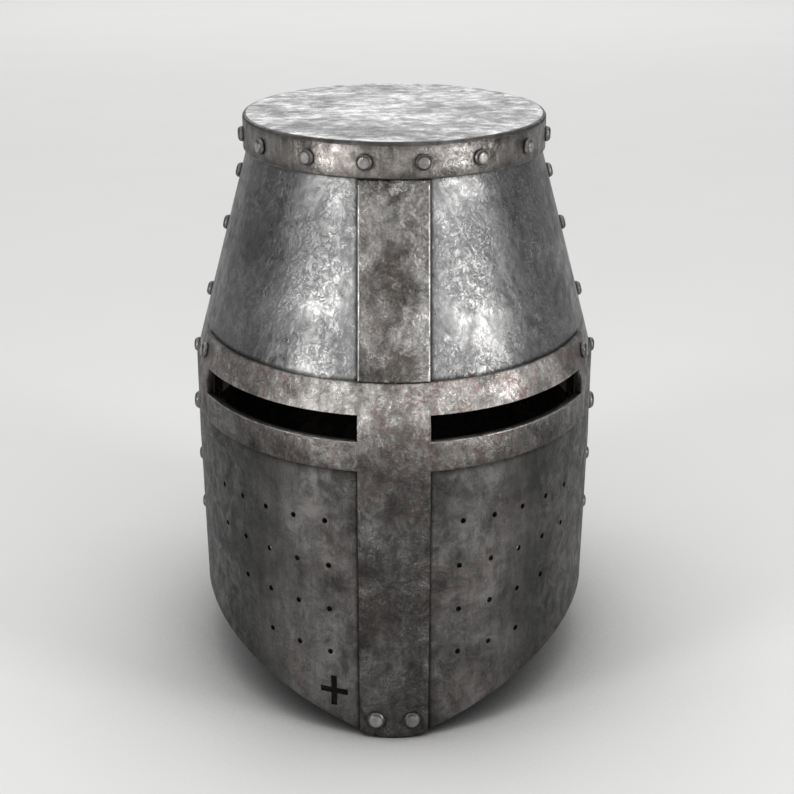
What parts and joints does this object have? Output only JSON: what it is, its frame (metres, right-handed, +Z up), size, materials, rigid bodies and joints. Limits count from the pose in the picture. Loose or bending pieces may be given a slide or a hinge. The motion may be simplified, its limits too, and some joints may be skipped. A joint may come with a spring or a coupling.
{
  "type": "great helm",
  "caption": "Riveted steel great helm with a conical skull, flat top, cross-shaped applied plate round two sights, breath holes, padded lining and a buckled chin strap.",
  "frame": {"origin": "on the floor under the middle of the helm, which stands on its front tip and on the level rear edge", "axes": "+Z up, the face looks along -Y, the wearer's left side is at +X"},
  "size_m": [0.2312, 0.2901, 0.305],
  "materials": {
    "top_plate": "aged, worn bright, streaked",
    "skull_front_plate": "aged, mottled, lightly dented",
    "skull_rear_plate": "aged, mottled",
    "face_plate": "aged, dark, smudged and scratched",
    "nape_plate": "aged, dark",
    "cross_plate": "hammered, brownish, traces of rust",
    "upper_strip": "hammered, brownish, bright edges",
    "flange_rivets": "aged, worn on top",
    "right_skull_rivets": "aged, worn on top",
    "left_skull_rivets": "aged, worn on top",
    "brow_rivets": "aged, worn on top",
    "right_seam_rivets": "aged, worn on top",
    "left_seam_rivets": "aged, worn on top",
    "rear_lap_rivets": "aged, worn on top",
    "foot_rivets": "aged, worn on top",
    "strip_rivets": "aged, worn on top",
    "cross_plate_rivets": "aged, worn on top",
    "liner_rivets": "aged, worn on top",
    "strap_rivets": "aged, worn on top",
    "strap_roves": "aged",
    "buckle_frame": "aged",
    "buckle_tongue": "aged",
    "liner_band": "oiled, worn",
    "strap_spacers": "oiled, worn",
    "left_chin_strap": "oiled, worn",
    "right_chin_strap": "oiled, worn",
    "brow_pad": "undyed linen, quilted",
    "left_temple_pad": "undyed linen, quilted",
    "right_temple_pad": "undyed linen, quilted",
    "nape_pad": "undyed linen, quilted",
    "crown_pad": "undyed linen, quilted"
  },
  "bodies": {
    "shell": {"top_plate": "top_plate", "skull_front_plate": "skull_front_plate", "skull_rear_plate": "skull_rear_plate", "face_plate": "face_plate", "nape_plate": "nape_plate", "cross_plate": "cross_plate", "upper_strip": "upper_strip", "flange_rivets": "flange_rivets", "right_skull_rivets": "right_skull_rivets", "left_skull_rivets": "left_skull_rivets", "brow_rivets": "brow_rivets", "right_seam_rivets": "right_seam_rivets", "left_seam_rivets": "left_seam_rivets", "rear_lap_rivets": "rear_lap_rivets", "foot_rivets": "foot_rivets", "strip_rivets": "strip_rivets", "cross_plate_rivets": "cross_plate_rivets", "liner_rivets": "liner_rivets", "strap_rivets": "strap_rivets", "strap_roves": "strap_roves", "liner_band": "liner_band", "strap_spacers": "strap_spacers", "brow_pad": "brow_pad", "left_temple_pad": "left_temple_pad", "right_temple_pad": "right_temple_pad", "nape_pad": "nape_pad", "crown_pad": "crown_pad"},
    "left_strap": {"left_chin_strap": "left_chin_strap"},
    "right_strap": {"right_chin_strap": "right_chin_strap"},
    "buckle": {"buckle_frame": "buckle_frame"},
    "tongue": {"buckle_tongue": "buckle_tongue"}
  },
  "joints": [
    {"name": "left_strap_swing", "type": "hinge", "parent": "shell", "child": "left_strap", "pos_m": [0.10205, 0, 0.13731], "axis": [1, 0, 0], "range_deg": [-15, 15]},
    {"name": "right_strap_swing", "type": "hinge", "parent": "shell", "child": "right_strap", "pos_m": [-0.10205, 0, 0.13731], "axis": [1, 0, 0], "range_deg": [-15, 15]},
    {"name": "buckle_swing", "type": "hinge", "parent": "right_strap", "child": "buckle", "pos_m": [-0.10205, 0, 0.09531], "axis": [0, -1, 0], "range_deg": [0, 45]},
    {"name": "tongue_swing", "type": "hinge", "parent": "buckle", "child": "tongue", "pos_m": [-0.10205, 0, 0.09531], "axis": [0, -1, 0], "range_deg": [0, 90]}
  ]
}
